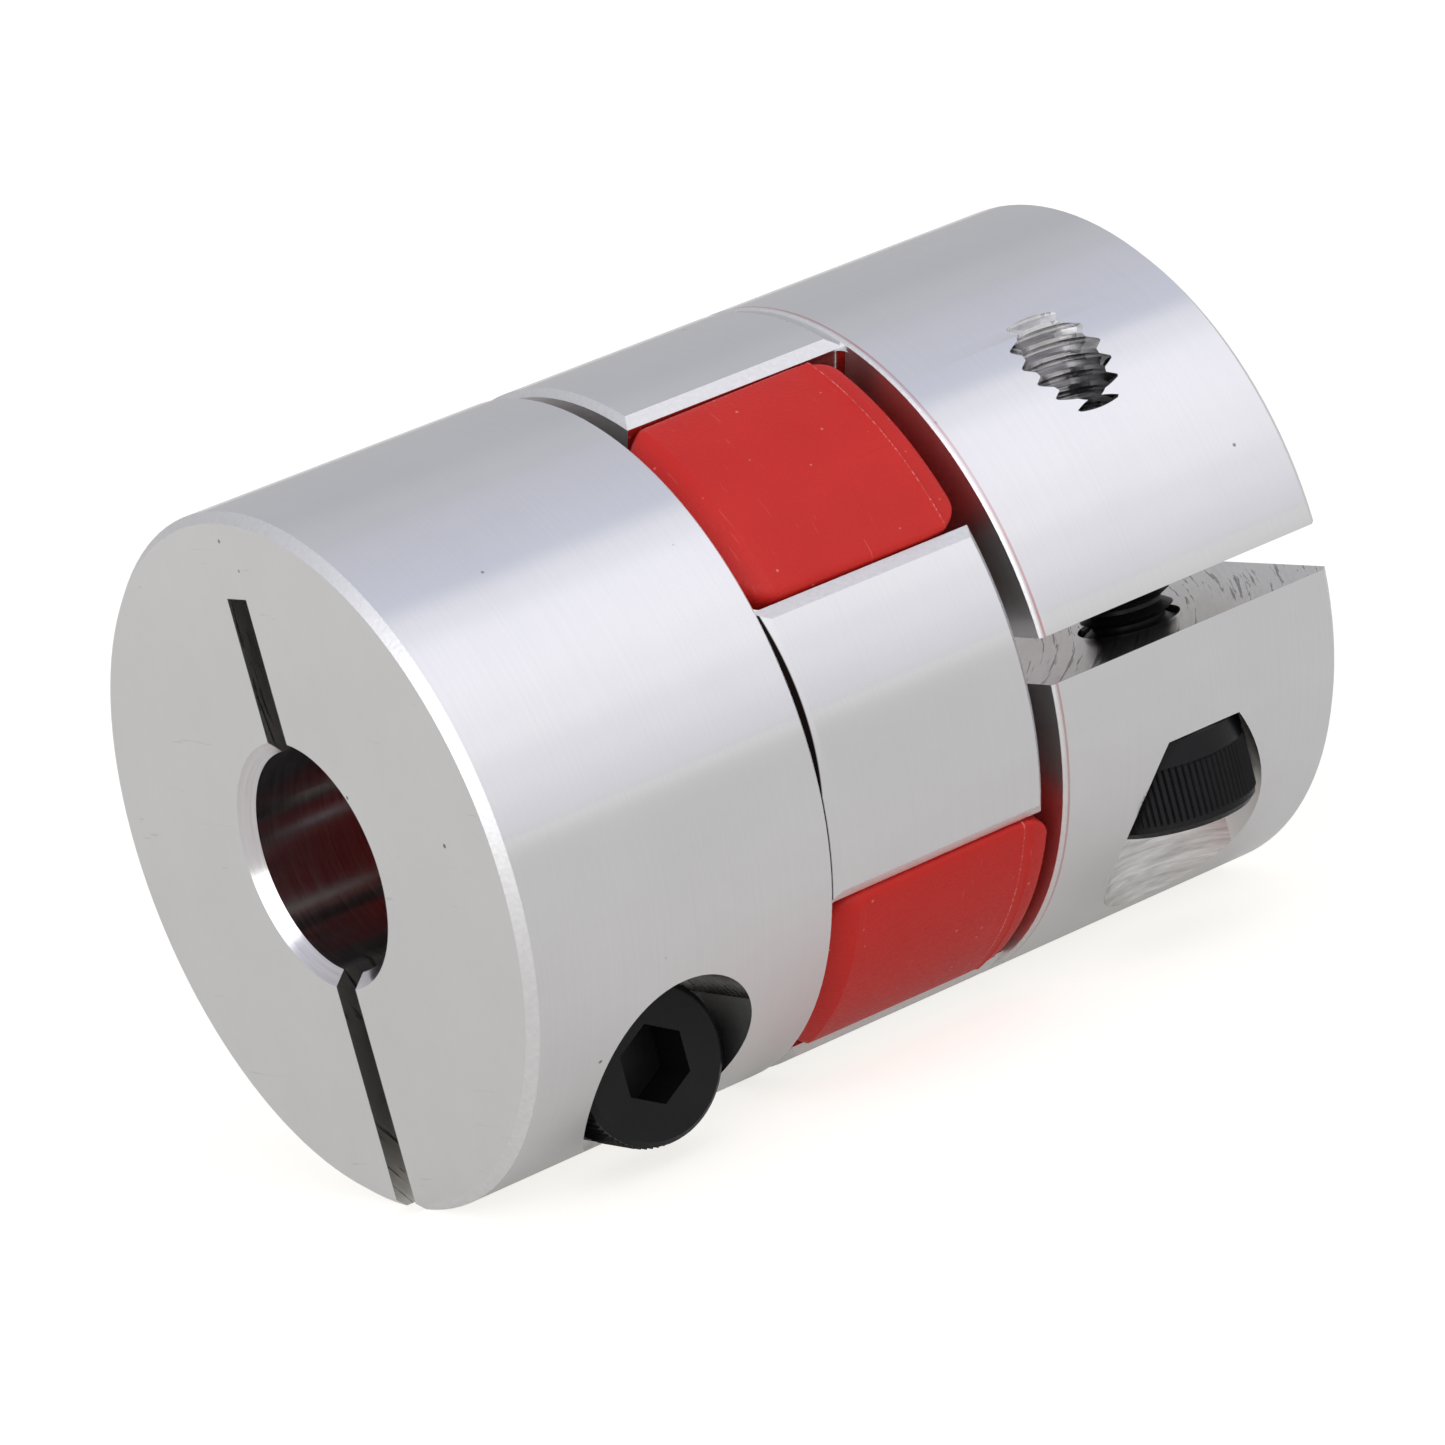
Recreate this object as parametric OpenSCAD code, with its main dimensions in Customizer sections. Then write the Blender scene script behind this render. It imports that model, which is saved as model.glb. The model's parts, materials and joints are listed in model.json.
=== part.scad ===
// Clamp-hub jaw coupling: two slotted hubs with two jaws each, a four-lobe spider between them,
// and one cap screw that closes each hub on its shaft.
// The shaft axis is X, the origin is midway between the hubs, and +Z is up.
// The left hub is slit open towards -Z, the right hub towards -Y.

/* [Overall] */
// Outside diameter of hubs and jaws
coupling_d = 30; // [24:0.5:40]
// Length of each hub from its end face to its flange face
hub_len = 15; // [12:0.5:24]
// Distance between the two flange faces
hub_gap = 12; // [9:0.5:18]
// Chamfer on the rim of each end face
end_chamfer = 0.4; // [0.2:0.1:1]
// Chamfer on the rim of each flange face
flange_chamfer = 0.1; // [0.05:0.05:0.5]

/* [Bores] */
// Bore of the left hub
left_bore_d = 9.525; // [5:0.005:12]
// Bore of the right hub
right_bore_d = 9.525; // [5:0.005:12]
// Chamfer at the outer mouth of each bore
bore_chamfer = 0.55; // [0.2:0.05:1]

/* [Jaws] */
// Angle that one jaw spans about the axis
jaw_angle = 49.6; // [40:0.2:56]
// Diameter on which the inner faces of the jaws lie
jaw_inner_d = 14.6; // [13:0.2:17]
// Space between a jaw's tip and the opposite flange face
jaw_tip_gap = 1; // [0.5:0.1:2]
// Chamfer on the outer edge of a jaw's tip
jaw_tip_chamfer = 0.3; // [0.1:0.1:0.6]
// Depth of the filed edge down each side of a jaw
jaw_edge_chamfer = 0.3; // [0.1:0.05:0.6]
// Width of the same filed edge, measured round the outside of the jaw
jaw_edge_land = 0.6; // [0.1:0.05:1]
// Fillet where a jaw's side meets the flange face
jaw_root_fillet = 0.5; // [0.2:0.1:1]
// Width of the turned groove across the root of each jaw, from the flange face
groove_w = 0.5; // [0.3:0.1:1]
// Depth of the turned groove
groove_depth = 0.25; // [0.1:0.05:0.4]

/* [Spider] */
// Hole through the middle of the spider
spider_hole_d = 10.5; // [8:0.5:11]
// Space between the spider's ring and the inner faces of the jaws
ring_gap = 0.15; // [0.05:0.05:0.4]
// Space between a lobe's side and the jaw beside it
flank_gap = 0.08; // [0.04:0.01:0.2]
// Space between the lobes and the left flange face
left_face_gap = 0.2; // [0.1:0.1:1]
// Space between the lobes and the right flange face
right_face_gap = 0.95; // [0.1:0.05:1.5]
// How far the lobes lie below the outside of the jaws
lobe_drop = 0.15; // [0.05:0.05:0.5]
// Rounding of a lobe's outer edge at its left end
lobe_left_round = 1.2; // [0.4:0.1:1.8]
// Rounding of a lobe's outer edge at its right end
lobe_right_round = 0.5; // [0.2:0.1:1.8]
// How much further a lobe's corners are cut back than the fillet at the jaw's root needs
lobe_corner = 0.4; // [0.1:0.1:1]
// How much the ring is shorter than the lobes at each end
ring_inset = 0.8; // [0.3:0.1:1.5]

/* [Clamp slots] */
// Width of the left hub's slots
left_slot_w = 1.5; // [0.8:0.1:2.4]
// Width of the right hub's slots
right_slot_w = 2; // [0.8:0.1:2.4]
// Wall left between the end of the blind slot and the outside
hinge_wall = 3.6; // [2:0.1:6]

/* [Clamp screws] */
// Thread diameter of the screws
screw_d = 4; // [3:0.1:5]
// Thread pitch
screw_pitch = 0.7; // [0.5:0.05:0.8]
// Length of the screws under the head
screw_len = 12; // [10:0.5:14]
// Unthreaded length under the head
shank_len = 1.6; // [0.5:0.1:3]
// Head diameter
head_d = 7; // [5:0.1:9]
// Head height
head_h = 4; // [3:0.1:5]
// Width across the flats of the hex socket
hex_af = 3; // [2:0.1:4]
// Depth of the hex socket
hex_depth = 2.2; // [1:0.1:3]
// Chamfer on the top edge of the head
head_chamfer = 0.25; // [0.1:0.05:0.6]
// Wall left outside the screw hole
clamp_edge = 2.25; // [1.5:0.05:4]
// Distance from the slot's middle plane to the seat under the head
seat_depth = 5.5; // [4:0.1:7]
// Radial clearance of the plain screw hole
hole_gap = 0.2; // [0.1:0.05:0.5]
// Radial clearance between the screw's thread and the tapped hole
thread_gap = 0.06; // [0.03:0.01:0.1]
// Radial clearance around the head in its pocket
pocket_gap = 0.4; // [0.2:0.05:1]
// Length of the bare tip below the last turn of thread
screw_tip = 0.5; // [0.2:0.1:0.8]

/* [Hidden] */
$fn = 96;
sink = 0.1; // how far an added solid reaches into the metal that it joins
over = 1; // how far a cut runs past the metal
coupling_r = coupling_d / 2;
half_len = hub_gap / 2 + hub_len;
jaw_len = hub_gap - jaw_tip_gap;
jaw_inner_r = jaw_inner_d / 2;
lobe_half_angle = (90 - jaw_angle) / 2;
lobe_apex = flank_gap / sin(lobe_half_angle);
lobe_r = coupling_r - lobe_drop;
lobe_len = hub_gap - left_face_gap - right_face_gap;
lobe_cut = jaw_root_fillet + lobe_corner;
ring_r = jaw_inner_r - ring_gap;
screw_r = screw_d / 2;
hole_r = screw_r + hole_gap;
pocket_r = head_d / 2 + pocket_gap;
clamp_offset = coupling_r - clamp_edge - hole_r;
thread_depth = 0.6134 * screw_pitch; // depth of a metric outside thread
root_r = screw_r - thread_depth;
aluminium = "#b9bbbd";
polyurethane = "#c4302b";
black_oxide = "#1c1c1e";

// Radius and height of the thread's corners over one pitch, crest at the top
function thread_turn(crest, root, z) = [
    [crest, z],
    [crest, z - screw_pitch / 8],
    [root, z - screw_pitch * 7 / 16],
    [root, z - screw_pitch * 11 / 16]
];

// The corners of turns first to last of the thread, counted down from the head's seat
function thread_rings(first, last, gap) = [
    for (turn = [first:last])
        each thread_turn(screw_r + gap, root_r + gap, -turn * screw_pitch)
];

// Half sections, turned about Z ----------------------------------------------------------------

module barrel() {
    rotate_extrude()
        polygon([
            [0, 0],
            [coupling_r - end_chamfer, 0],
            [coupling_r, end_chamfer],
            [coupling_r, hub_len - flange_chamfer],
            [coupling_r - flange_chamfer, hub_len],
            [0, hub_len]
        ]);
}

module jaw_envelope() {
    rotate_extrude()
        polygon([
            [jaw_inner_r, hub_len - over],
            [coupling_r - groove_depth, hub_len - over],
            [coupling_r - groove_depth, hub_len],
            [coupling_r, hub_len + groove_w],
            [coupling_r, hub_len + jaw_len - jaw_tip_chamfer],
            [coupling_r - jaw_tip_chamfer, hub_len + jaw_len],
            [jaw_inner_r, hub_len + jaw_len]
        ]);
}

module bore_cut(bore_d) {
    bore_r = bore_d / 2;
    rotate_extrude()
        polygon([
            [0, -over],
            [bore_r + bore_chamfer + over, -over],
            [bore_r, bore_chamfer],
            [bore_r, hub_len + over],
            [0, hub_len + over]
        ]);
}

// Hub, standing on its end face, jaws up and centred on X, slit open towards +Y ------------------

module jaw_outline() {
    half = jaw_angle / 2;
    reach = coupling_r * 1.3;
    difference() {
        polygon([[0, 0], reach * [cos(half), -sin(half)], [reach, 0], reach * [cos(half), sin(half)]]);
        for (side = [-half, half])
            rotate(side)
                translate([coupling_r, 0])
                    polygon([
                        [jaw_edge_chamfer, 0],
                        [0, jaw_edge_land],
                        [-jaw_edge_chamfer, 0],
                        [0, -jaw_edge_land]
                    ]);
    }
}

module jaw_fillet(side) {
    start = jaw_inner_r + jaw_root_fillet;
    end = coupling_r - jaw_edge_chamfer - flange_chamfer / 2;
    rotate(side * jaw_angle / 2)
        translate([start, 0, hub_len])
            mirror([0, side > 0 ? 0 : 1, 0])
                rotate([90, 0, 90])
                    linear_extrude(end - start)
                        difference() {
                            translate([-sink, -sink])
                                square(jaw_root_fillet + sink);
                            translate([jaw_root_fillet, jaw_root_fillet])
                                circle(jaw_root_fillet, $fn = 32);
                        }
}

module jaw() {
    intersection() {
        jaw_envelope();
        translate([0, 0, hub_len - over])
            linear_extrude(jaw_len + 2 * over)
                jaw_outline();
    }
    jaw_fillet(1);
    jaw_fillet(-1);
}

module slots(slot_w) {
    // open slot, from the bore out through the rim
    translate([-slot_w / 2, 0, -over])
        cube([slot_w, coupling_r + over, hub_len + 2 * over]);
    // blind slot, whose end leaves the wall that bends
    translate([-slot_w / 2, hinge_wall - coupling_r, -over])
        cube([slot_w, coupling_r - hinge_wall, hub_len + 2 * over]);
}

module tapped_hole() {
    first = floor(seat_depth / screw_pitch) - 1;
    last = ceil((seat_depth + coupling_r) / screw_pitch) + 1;
    top = -first * screw_pitch;
    bottom = -(last + 1) * screw_pitch;
    intersection() {
        rotate_extrude()
            polygon(concat([[0, top]], thread_rings(first, last, thread_gap), [[0, bottom]]));
        translate([0, 0, bottom - over])
            cylinder(r = screw_d, h = over - seat_depth - bottom);
    }
}

module screw_cut() {
    tapped_hole();
    translate([0, 0, -seat_depth])
        cylinder(r = hole_r, h = seat_depth + over);
    cylinder(r = pocket_r, h = coupling_r);
}

module at_screw() {
    translate([seat_depth, clamp_offset, hub_len / 2])
        rotate([0, 90, 0])
            children();
}

module hub(bore_d, slot_w) {
    difference() {
        union() {
            barrel();
            for (turn = [0, 180])
                rotate(turn)
                    jaw();
        }
        bore_cut(bore_d);
        slots(slot_w);
        at_screw()
            screw_cut();
    }
}

// Cap screw, seat at the origin, head up -------------------------------------------------------

module cap_screw() {
    first = ceil(shank_len / screw_pitch);
    last = floor((screw_len - screw_tip) / screw_pitch) - 1;
    difference() {
        rotate_extrude()
            polygon(concat(
                [
                    [0, head_h],
                    [head_d / 2 - head_chamfer, head_h],
                    [head_d / 2, head_h - head_chamfer],
                    [head_d / 2, 0],
                    [screw_r, 0]
                ],
                thread_rings(first, last, 0),
                [
                    [root_r, -screw_len],
                    [0, -screw_len]
                ]
            ));
        translate([0, 0, head_h - hex_depth])
            cylinder(r = hex_af / 2 / cos(30), h = hex_depth + over, $fn = 6);
    }
}

// Spider, axis on Z, left end at the origin ----------------------------------------------------

module lobe_envelope() {
    rotate_extrude()
        polygon([
            [0, 0],
            [lobe_r - lobe_left_round, 0],
            for (a = [-75:15:-15])
                [lobe_r - lobe_left_round * (1 - cos(a)), lobe_left_round * (1 + sin(a))],
            [lobe_r, lobe_left_round],
            [lobe_r, lobe_len - lobe_right_round],
            for (a = [15:15:75])
                [lobe_r - lobe_right_round * (1 - cos(a)), lobe_len - lobe_right_round * (1 - sin(a))],
            [lobe_r - lobe_right_round, lobe_len],
            [0, lobe_len]
        ]);
}

module lobe_outline() {
    reach = coupling_r * 1.3;
    translate([lobe_apex, 0])
        polygon([
            [0, 0],
            reach * [cos(lobe_half_angle), -sin(lobe_half_angle)],
            reach * [cos(lobe_half_angle), sin(lobe_half_angle)]
        ]);
}

// Cut along the edge between one side of a lobe and its left end
module lobe_relief(side) {
    translate([lobe_apex, 0, 0])
        rotate(side * lobe_half_angle)
            mirror([0, side > 0 ? 1 : 0, 0])
                rotate([90, 0, 90])
                    linear_extrude(coupling_r + over)
                        polygon([
                            [-over, -over],
                            [lobe_cut + over, -over],
                            [-over, lobe_cut + over]
                        ]);
}

module lobe() {
    difference() {
        translate([0, 0, -over])
            linear_extrude(lobe_len + 2 * over)
                lobe_outline();
        for (side = [-1, 1]) {
            lobe_relief(side);
            translate([0, 0, lobe_len])
                mirror([0, 0, 1])
                    lobe_relief(side);
        }
    }
}

module spider_body() {
    difference() {
        union() {
            intersection() {
                lobe_envelope();
                for (turn = [45:90:315])
                    rotate(turn)
                        lobe();
            }
            translate([0, 0, ring_inset])
                cylinder(r = ring_r, h = lobe_len - 2 * ring_inset);
        }
        translate([0, 0, -over])
            cylinder(r = spider_hole_d / 2, h = lobe_len + 2 * over);
    }
}

// The pieces in place --------------------------------------------------------------------------

module at_left() {
    translate([-half_len, 0, 0])
        rotate([-90, 0, -90])
            children();
}

module at_right() {
    translate([half_len, 0, 0])
        rotate([0, 90, 180])
            children();
}

module left_hub() {
    color(aluminium)
        at_left()
            hub(left_bore_d, left_slot_w);
}

module right_hub() {
    color(aluminium)
        at_right()
            hub(right_bore_d, right_slot_w);
}

module spider() {
    color(polyurethane)
        translate([left_face_gap - hub_gap / 2, 0, 0])
            rotate([0, 90, 0])
                spider_body();
}

module left_clamp_screw() {
    color(black_oxide)
        at_left()
            at_screw()
                cap_screw();
}

module right_clamp_screw() {
    color(black_oxide)
        at_right()
            at_screw()
                cap_screw();
}

left_hub();
right_hub();
spider();
left_clamp_screw();
right_clamp_screw();
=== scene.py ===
import json
import math

import bmesh
import bpy
from mathutils import Matrix, Quaternion, Vector


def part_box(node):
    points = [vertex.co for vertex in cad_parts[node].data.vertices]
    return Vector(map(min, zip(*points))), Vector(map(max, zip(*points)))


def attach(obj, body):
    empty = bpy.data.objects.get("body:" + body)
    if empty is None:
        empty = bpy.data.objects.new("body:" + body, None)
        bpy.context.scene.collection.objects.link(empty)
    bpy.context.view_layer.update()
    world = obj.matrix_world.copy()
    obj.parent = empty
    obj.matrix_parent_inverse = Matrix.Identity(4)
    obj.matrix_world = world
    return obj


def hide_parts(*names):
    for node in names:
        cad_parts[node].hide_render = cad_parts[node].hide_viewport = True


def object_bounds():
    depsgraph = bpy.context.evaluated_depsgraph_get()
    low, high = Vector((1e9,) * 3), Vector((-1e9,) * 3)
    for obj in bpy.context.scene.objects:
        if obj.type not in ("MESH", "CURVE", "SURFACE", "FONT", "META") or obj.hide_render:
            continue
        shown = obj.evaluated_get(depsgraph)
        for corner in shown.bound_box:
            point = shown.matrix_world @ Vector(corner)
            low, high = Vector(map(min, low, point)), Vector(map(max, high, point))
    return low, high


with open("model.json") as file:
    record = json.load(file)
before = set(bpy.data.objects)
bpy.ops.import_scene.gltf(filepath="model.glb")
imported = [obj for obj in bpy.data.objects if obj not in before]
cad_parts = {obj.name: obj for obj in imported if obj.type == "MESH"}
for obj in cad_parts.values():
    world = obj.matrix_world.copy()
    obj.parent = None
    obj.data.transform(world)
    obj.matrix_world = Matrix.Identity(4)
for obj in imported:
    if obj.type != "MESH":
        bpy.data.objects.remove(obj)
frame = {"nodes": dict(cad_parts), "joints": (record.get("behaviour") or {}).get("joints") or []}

cad_low, cad_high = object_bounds()

# ---- Studio ---------------------------------------------------------------------------------
# The coupling lies on a wide pale table under a white fabric tent. One long softbox hangs over
# the front of it, parallel to the shaft, and a second one stands off its left end.

MM = 0.001


def linear(code):
    """An sRGB hex colour as linear red, green, blue and alpha."""
    parts = [int(code[i:i + 2], 16) / 255 for i in (1, 3, 5)]
    return (*(c / 12.92 if c <= 0.04045 else ((c + 0.055) / 1.055) ** 2.4 for c in parts), 1.0)


def node(tree, kind, inputs=None, **settings):
    """Adds a node, applies its settings, and gives each input a value or a link."""
    made = tree.nodes.new(kind)
    for name, value in settings.items():
        setattr(made, name, value)
    for name, value in (inputs or {}).items():
        if isinstance(value, bpy.types.NodeSocket):
            tree.links.new(value, made.inputs[name])
        else:
            made.inputs[name].default_value = value
    return made


def empty_material(name):
    """A new material with no nodes in it, and its tree."""
    material = bpy.data.materials.new(name)
    material.use_nodes = True
    material.node_tree.nodes.clear()
    return material, material.node_tree


def placed(name, mesh):
    """An object for a mesh that already lies in its place."""
    made = bpy.data.objects.new(name, mesh)
    bpy.context.scene.collection.objects.link(made)
    return made


scene = bpy.context.scene
scene.view_settings.view_transform = "Standard"

azimuth, elevation, roll = math.radians(-31.57), math.radians(12.79), math.radians(-14.97)
back = Vector((
    math.sin(azimuth) * math.cos(elevation),
    -math.cos(azimuth) * math.cos(elevation),
    math.sin(elevation),
))
camera = bpy.data.objects.new("camera", bpy.data.cameras.new("camera"))
camera.data.lens = 187.9
camera.data.clip_start = 0.01
camera.location = Vector((-0.5 * MM, -0.1 * MM, -1.05 * MM)) + back * 315 * MM
camera.rotation_mode = "QUATERNION"
camera.rotation_quaternion = (-back).to_track_quat("-Z", "Y") @ Quaternion((0, 0, 1), roll)
scene.collection.objects.link(camera)
scene.camera = camera

# The table is pale and matt, with painted light on it: it glows, less within a few centimetres of
# the coupling (painted shade there) and more for the camera, so that it looks white from above. It
# is open from below.
table_mesh = bpy.data.meshes.new("table")
table_mesh.from_pydata(
    [(-3, -3, cad_low.z), (3, -3, cad_low.z), (3, 3, cad_low.z), (-3, 3, cad_low.z)],
    [], [(0, 1, 2, 3)])
table = placed("table", table_mesh)
material, tree = empty_material("glowing_matt_white_laminate")
spot = node(tree, "ShaderNodeTexCoord")
grain = node(tree, "ShaderNodeTexNoise", {"Scale": 900.0, "Detail": 2.0})
shade = node(tree, "ShaderNodeMix", {
    "Factor": grain.outputs["Fac"], "A": linear("#A9A8A5"), "B": linear("#B1B0AD"),
}, data_type="RGBA")
matt = node(tree, "ShaderNodeBsdfDiffuse", {"Color": shade.outputs["Result"]})
reach = node(tree, "ShaderNodeVectorMath", {0: spot.outputs["Object"]}, operation="LENGTH")
# painted light: the table's glow, dimmer near the coupling as painted shade
glow_by_distance = node(tree, "ShaderNodeMapRange", {
    "Value": reach.outputs["Value"], "From Min": 0.05, "From Max": 0.5,
    "To Min": 0.235, "To Max": 0.40,
}, interpolation_type="SMOOTHSTEP")
path = node(tree, "ShaderNodeLightPath")
glow_level = node(tree, "ShaderNodeMix", {
    "Factor": path.outputs["Is Camera Ray"], "A": glow_by_distance.outputs["Result"], "B": 0.78,
}, data_type="FLOAT")
painted_glow = node(tree, "ShaderNodeEmission", {
    "Color": linear("#FFFDF9"), "Strength": glow_level.outputs["Result"]})
white = node(tree, "ShaderNodeAddShader", {0: matt.outputs["BSDF"], 1: painted_glow.outputs["Emission"]})
clear = node(tree, "ShaderNodeBsdfTransparent")
side = node(tree, "ShaderNodeNewGeometry")
both = node(tree, "ShaderNodeMixShader", {
    "Fac": side.outputs["Backfacing"], 1: white.outputs["Shader"], 2: clear.outputs["BSDF"],
})
node(tree, "ShaderNodeOutputMaterial", {"Surface": both.outputs["Shader"]})
table_mesh.materials.append(material)

# The tent's brightness, once round the shaft from the far side over the top to the near side.
world = bpy.data.worlds.new("tent")
scene.world = world
world.use_nodes = True
tree = world.node_tree
tree.nodes.clear()
facing = node(tree, "ShaderNodeTexCoord")
axes = node(tree, "ShaderNodeSeparateXYZ", {"Vector": facing.outputs["Generated"]})
turn = node(tree, "ShaderNodeMath", {0: axes.outputs["Z"], 1: axes.outputs["Y"]},
            operation="ARCTAN2")
share = node(tree, "ShaderNodeMath", {0: turn.outputs[0], 1: math.pi}, operation="DIVIDE")
tent = node(tree, "ShaderNodeValToRGB", {"Fac": share.outputs[0]})
tent.color_ramp.interpolation = "EASE"
stops = [(0.03, "#ABABAE"), (0.22, "#AAABAF"), (0.33, "#B2B3B8"), (0.42, "#B8B9C2"),
         (0.535, "#BDC0CB"), (0.60, "#DADAE1"), (0.66, "#E7E6ED"), (0.74, "#E8E7ED"),
         (0.83, "#E3E2E6"), (0.90, "#D8D7DB"), (1.0, "#CAC9CE")]
ramp = tent.color_ramp.elements
for at, code in stops[2:]:
    ramp.new(at)
for element, (at, code) in zip(ramp, stops):
    element.position = at
    element.color = linear(code)
path = node(tree, "ShaderNodeLightPath")
white = node(tree, "ShaderNodeMix", {
    "Factor": path.outputs["Is Camera Ray"], "A": tent.outputs["Color"], "B": linear("#FFFFFF"),
}, data_type="RGBA")
glow = node(tree, "ShaderNodeBackground", {"Color": white.outputs["Result"], "Strength": 1.15})
node(tree, "ShaderNodeOutputWorld", {"Surface": glow.outputs["Background"]})


def softbox(name, towards, size, power, code):
    """A rectangular lamp on one side of the coupling, aimed at it."""
    lamp = bpy.data.lights.new(name, "AREA")
    lamp.shape = "RECTANGLE"
    lamp.size, lamp.size_y = size
    lamp.energy = power
    lamp.color = linear(code)[:3]
    made = bpy.data.objects.new(name, lamp)
    made.location = Vector(towards).normalized() * 0.6
    made.rotation_mode = "QUATERNION"
    made.rotation_quaternion = Vector(towards).to_track_quat("Z", "X")
    made.visible_camera = False
    scene.collection.objects.link(made)
    return made


softbox("left_softbox", (-0.85, -0.35, 0.22), (0.6, 0.6), 1.1, "#FFFFFF")
softbox("front_softbox", (-0.1, -0.65, 0.75), (0.5, 0.16), 0.12, "#FFFFFF")

# ---- Left hub --------------------------------------------------------------------------------
# A clamp hub turned from aluminium bar, with two jaws milled on its flange. The bore is bored
# out, the slot is sawn to the bore and a little past it, and a pocket and a tapped hole cross it.

screw_turns = {joint["name"]: joint for joint in frame["joints"] if joint["type"] == "hinge"}
hub_radius = (cad_high.z - cad_low.z) / 2
slot_reach = 1.05 * MM
bore_reach = 5.4 * MM
tapped_reach = 2.3 * MM
seat_depth = 5.5 * MM
rim_band, bore_band = 0.6 * MM, 0.7 * MM
saw_arbor = (-14 * MM, -9 * MM, 0)
# where the groove's painted shade lies along the shaft, how it bends with height, and how far
# forward it reaches
shade_brim, shade_fall, shade_front = -5.66 * MM, -0.2 * MM, -12 * MM


def round_shaft(tree, place, pitch):
    """A pattern's coordinates wrapped on the shaft: X counts pitches along it, Y is the angle."""
    axes = node(tree, "ShaderNodeSeparateXYZ", {"Vector": place})
    turn = node(tree, "ShaderNodeMath", {0: axes.outputs["Z"], 1: axes.outputs["Y"]},
                operation="ARCTAN2")
    along = node(tree, "ShaderNodeMath", {0: axes.outputs["X"], 1: 1 / pitch},
                 operation="MULTIPLY")
    wrapped = node(tree, "ShaderNodeCombineXYZ", {"X": along.outputs[0], "Y": turn.outputs[0]})
    return axes, turn.outputs[0], wrapped.outputs[0]


# Aluminium turned on a lathe: bright and nearly a mirror, broken by fine lines round the bar,
# with a few dark pits where the tool dragged. Real feed lines are 0.05 mm apart, drawn 0.13 mm.
turned_aluminium, tree = empty_material("turned_aluminium")
place = node(tree, "ShaderNodeTexCoord").outputs["Object"]
axes, _, wrapped = round_shaft(tree, place, 0.13 * MM)
feed = node(tree, "ShaderNodeTexNoise", {
    "Vector": wrapped, "Scale": 1.0, "Detail": 3.0, "Roughness": 0.7,
}, noise_dimensions="2D")
cloud = node(tree, "ShaderNodeTexNoise", {
    "Vector": place, "Scale": 1 / (6 * MM), "Detail": 4.0, "Roughness": 0.6,
})
pits = node(tree, "ShaderNodeTexVoronoi", {"Vector": place, "Scale": 1 / (2.7 * MM)})
pit = node(tree, "ShaderNodeMapRange", {
    "Value": pits.outputs["Distance"], "From Min": 0.022, "From Max": 0.04,
    "To Min": 0.8, "To Max": 0.0,
})
tone = node(tree, "ShaderNodeMix", {
    "Factor": cloud.outputs["Fac"], "A": linear("#F1F1F3"), "B": linear("#FAFAFB"),
}, data_type="RGBA")
lined = node(tree, "ShaderNodeMapRange", {
    "Value": feed.outputs["Fac"], "From Min": 0.35, "From Max": 0.75,
    "To Min": 0.0, "To Max": 0.1,
})
grooved = node(tree, "ShaderNodeMix", {
    "Factor": lined.outputs["Result"], "A": tone.outputs["Result"], "B": linear("#DFDFE2"),
}, data_type="RGBA")
stained = node(tree, "ShaderNodeMix", {
    "Factor": pit.outputs["Result"], "A": grooved.outputs["Result"], "B": linear("#77777B"),
}, data_type="RGBA")
# a painted reflection of the red lobes: a pink tint just inside the edge of the right hub's flange
flange_side = node(tree, "ShaderNodeMath", {
    0: axes.outputs["X"], 1: 6.24 * MM, 2: 0.06 * MM}, operation="COMPARE")
painted_red_reflection = node(tree, "ShaderNodeMath", {0: flange_side.outputs[0], 1: cloud.outputs["Fac"]},
             operation="MULTIPLY")
# painted reflection: the aluminium turns pink in that thin band
with_red_reflection = node(tree, "ShaderNodeMix", {
    "Factor": painted_red_reflection.outputs[0], "A": stained.outputs["Result"], "B": linear("#D88C8C"),
}, data_type="RGBA")
dull = node(tree, "ShaderNodeMapRange", {
    "Value": feed.outputs["Fac"], "From Min": 0.3, "From Max": 0.7,
    "To Min": 0.10, "To Max": 0.14,
})
ridges = node(tree, "ShaderNodeBump", {
    "Height": feed.outputs["Fac"], "Strength": 0.12, "Distance": 0.004 * MM,
})
surface = node(tree, "ShaderNodeBsdfPrincipled", {
    "Base Color": with_red_reflection.outputs["Result"], "Roughness": dull.outputs["Result"],
    "Normal": ridges.outputs["Normal"], "Metallic": 1.0,
})
node(tree, "ShaderNodeOutputMaterial", {"Surface": surface.outputs["BSDF"]})

# The same metal faced across: the tool's rings run round the shaft and scatter the light, so
# it reads as even pale grey. The real rings are 0.04 mm apart, drawn 0.2 mm and very shallow.
faced_aluminium, tree = empty_material("faced_aluminium")
place = node(tree, "ShaderNodeTexCoord").outputs["Object"]
axes = node(tree, "ShaderNodeSeparateXYZ", {"Vector": place})
flat = node(tree, "ShaderNodeCombineXYZ", {"Y": axes.outputs["Y"], "Z": axes.outputs["Z"]})
radius = node(tree, "ShaderNodeVectorMath", {0: flat.outputs[0]}, operation="LENGTH")
ring = node(tree, "ShaderNodeMath", {0: radius.outputs["Value"], 1: 1 / (0.2 * MM)},
            operation="MULTIPLY")
rings = node(tree, "ShaderNodeTexNoise", {
    "W": ring.outputs[0], "Scale": 1.0, "Detail": 2.0,
}, noise_dimensions="1D")
cloud = node(tree, "ShaderNodeTexNoise", {
    "Vector": place, "Scale": 1 / (5 * MM), "Detail": 4.0, "Roughness": 0.65,
})
specks = node(tree, "ShaderNodeTexVoronoi", {"Vector": place, "Scale": 1 / (3.3 * MM)})
speck = node(tree, "ShaderNodeMapRange", {
    "Value": specks.outputs["Distance"], "From Min": 0.02, "From Max": 0.036,
    "To Min": 0.9, "To Max": 0.0,
})
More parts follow.
